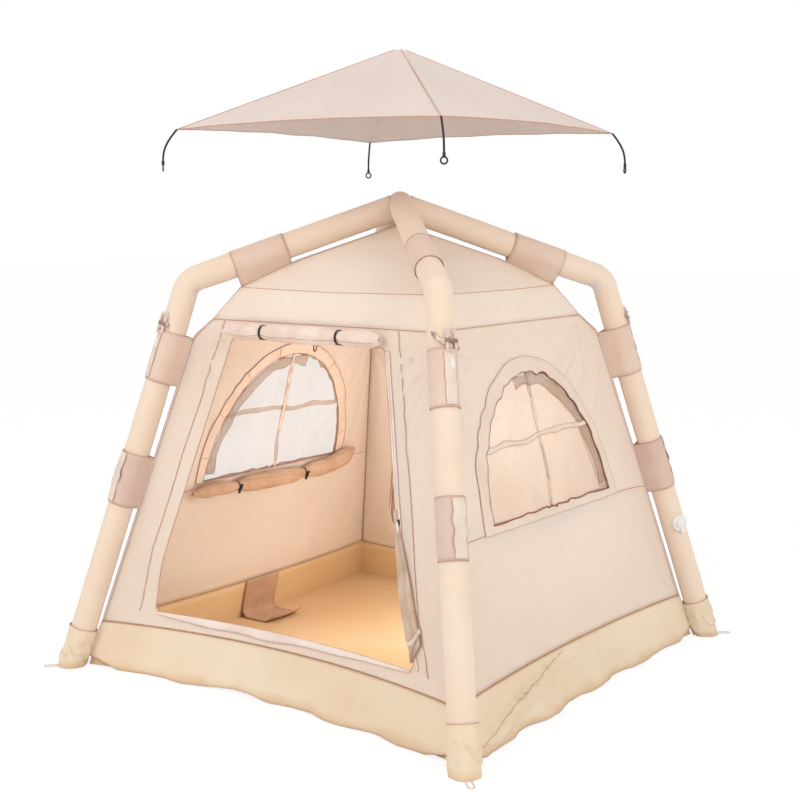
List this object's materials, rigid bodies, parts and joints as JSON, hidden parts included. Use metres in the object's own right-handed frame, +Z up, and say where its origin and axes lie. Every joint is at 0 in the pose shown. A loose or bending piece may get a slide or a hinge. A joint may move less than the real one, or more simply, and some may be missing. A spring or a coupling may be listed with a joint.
{
  "type": "inflatable tent",
  "caption": "Air-beam tent with bent corner beams crossing at the crown, a hung cloth body with door and arched mesh windows, a tub floor and a lift-off square fly",
  "frame": {"origin": "on the ground, under the middle of the square of feet", "axes": "+Z up, the doorway faces -Y, +X to the right of a person who looks in through the doorway"},
  "size_m": [2.2924, 2.2924, 2.6747],
  "materials": {
    "sleeve_cloth": "matt woven polyester",
    "band_cloth": "matt woven polyester, slightly pink",
    "wall_cloth": "matt woven polyester",
    "roof_cloth": "matt woven polyester",
    "tub_cloth": "coated groundsheet cloth with a soft sheen",
    "fly_cloth": "coated woven polyester",
    "facing_cloth": "matt woven polyester",
    "bladder_film": "clear grey film",
    "mesh": "fine insect mesh",
    "black_elastic": "woven elastic cord",
    "white_plastic": "moulded, smooth",
    "black_plastic": "moulded, smooth",
    "guyline": "braided cord"
  },
  "bodies": {
    "tent": {"arch_bladder": "bladder_film", "arch_sleeve": "sleeve_cloth", "back_door": "facing_cloth", "back_wall": "wall_cloth", "cable_flap": "band_cloth", "door_tie_1": "black_elastic", "door_tie_2": "black_elastic", "foot_cuff_back_left": "tub_cloth", "foot_cuff_back_right": "tub_cloth", "foot_cuff_front_left": "tub_cloth", "foot_cuff_front_right": "tub_cloth", "front_wall": "wall_cloth", "ground_skirt": "tub_cloth", "guy_hank_back_left": "guyline", "guy_hank_back_right": "guyline", "guy_hank_front_left": "guyline", "guy_hank_front_right": "guyline", "guy_tensioner_back_left": "white_plastic", "guy_tensioner_back_right": "white_plastic", "guy_tensioner_front_left": "white_plastic", "guy_tensioner_front_right": "white_plastic", "left_arm_bladder": "bladder_film", "left_arm_sleeve": "sleeve_cloth", "left_curtain_roll": "facing_cloth", "left_wall": "wall_cloth", "left_window_facing": "facing_cloth", "left_window_mesh": "mesh", "lower_band_back_left": "band_cloth", "lower_band_back_right": "band_cloth", "lower_band_front_left": "band_cloth", "lower_band_front_right": "band_cloth", "mesh_door": "mesh", "right_arm_bladder": "bladder_film", "right_arm_sleeve": "sleeve_cloth", "right_curtain_roll": "facing_cloth", "right_wall": "wall_cloth", "right_window_facing": "facing_cloth", "right_window_mesh": "mesh", "rolled_door": "facing_cloth", "roof_band_back_left": "band_cloth", "roof_band_back_right": "band_cloth", "roof_band_front_left": "band_cloth", "roof_band_front_right": "band_cloth", "roof_canopy": "roof_cloth", "tub_floor": "tub_cloth", "upper_band_back_left": "band_cloth", "upper_band_back_right": "band_cloth", "upper_band_front_left": "band_cloth", "upper_band_front_right": "band_cloth", "valve_body": "white_plastic"},
    "fly": {"fly_canopy": "fly_cloth", "fly_cord_front_left": "black_elastic", "fly_cord_front_right": "black_elastic", "fly_cord_back_right": "black_elastic", "fly_cord_back_left": "black_elastic"},
    "slider": {"zip_slider": "black_plastic"},
    "pull": {"zip_pull": "white_plastic"},
    "valve_cap": {"valve_cap": "white_plastic"},
    "valve_plug": {"valve_plug": "white_plastic"}
  },
  "joints": [
    {"name": "fly_lift", "type": "slide", "parent": "tent", "child": "fly", "axis": [0, 0, 1], "range_m": [-0.555, 0.05]},
    {"name": "door_zip", "type": "slide", "parent": "tent", "child": "slider", "axis": [-0.2643, 0.2535, 0.9305], "range_m": [-0.22, 0.56]},
    {"name": "zip_pull_swing", "type": "hinge", "parent": "slider", "child": "pull", "pos_m": [0.55678, -0.78682, 0.81736], "axis": [-0.9644, -0.0694, -0.255], "range_deg": [0, 150]},
    {"name": "valve_cap_turn", "type": "hinge", "parent": "tent", "child": "valve_cap", "pos_m": [0.97477, 0.88703, 0.56529], "axis": [0.8587, -0.5058, 0.0822], "range_deg": [0, 90]},
    {"name": "valve_plug_swing", "type": "hinge", "parent": "tent", "child": "valve_plug", "pos_m": [0.99121, 0.91314, 0.55414], "axis": [0.8587, -0.5058, 0.0822], "range_deg": [0, 95]}
  ]
}
